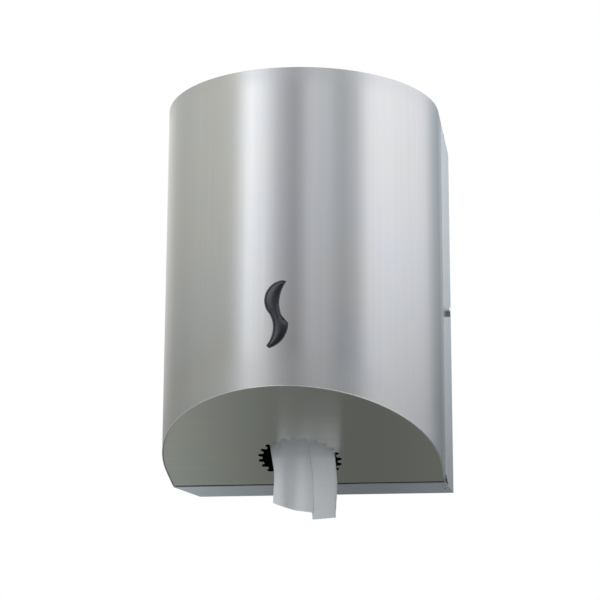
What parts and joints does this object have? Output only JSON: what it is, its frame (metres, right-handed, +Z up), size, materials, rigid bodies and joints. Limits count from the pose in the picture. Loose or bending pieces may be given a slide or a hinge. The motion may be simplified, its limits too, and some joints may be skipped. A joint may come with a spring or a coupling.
{
  "type": "centrefeed roll dispenser",
  "caption": "Wall-hung centrefeed paper dispenser: satin steel tray with a round-fronted lockable cover on side hinges, sight window, sloping floor with toothed outlet and hanging paper tail.",
  "frame": {"origin": "middle of the back plate, on the wall plane", "axes": "+Z up, +Y into the wall, +X to the right of someone who faces the dispenser"},
  "size_m": [0.2561, 0.2504, 0.3747],
  "materials": {
    "satin_steel": "satin",
    "plain_steel": "plain",
    "lock_chrome": "polished",
    "smoked_lens": "smoked gloss",
    "bezel_plastic": "gloss",
    "gasket_rubber": "matt",
    "black_plastic": "matt",
    "paper": "soft matt"
  },
  "bodies": {
    "frame": {"back_frame": "satin_steel", "lower_frame_leaf": "plain_steel", "upper_frame_leaf": "plain_steel", "lower_hinge_pin": "plain_steel", "upper_hinge_pin": "plain_steel", "lock_housing": "lock_chrome", "lock_nut": "plain_steel"},
    "lock_core": {"lock_plug": "lock_chrome", "lock_cam": "plain_steel", "lock_cam_screw": "plain_steel"},
    "cover": {"cover_skin": "satin_steel", "cover_top_plate": "satin_steel", "cover_floor_plate": "satin_steel", "lower_cover_leaf": "plain_steel", "upper_cover_leaf": "plain_steel", "window_lens": "smoked_lens", "window_gasket": "gasket_rubber", "window_bezel": "bezel_plastic", "roll_shelf": "satin_steel", "paper_funnel": "black_plastic", "paper_roll": "paper", "paper_tail": "paper", "lock_keeper": "plain_steel"}
  },
  "joints": [
    {"name": "cover_swing", "type": "hinge", "parent": "frame", "child": "cover", "pos_m": [-0.1245, -0.09925, 0], "axis": [0, 0, -1], "range_deg": [0, 110]},
    {"name": "lock_turn", "type": "hinge", "parent": "frame", "child": "lock_core", "pos_m": [0.125, -0.0555, -0.0035], "axis": [-1, 0, 0], "range_deg": [0, 90]}
  ]
}
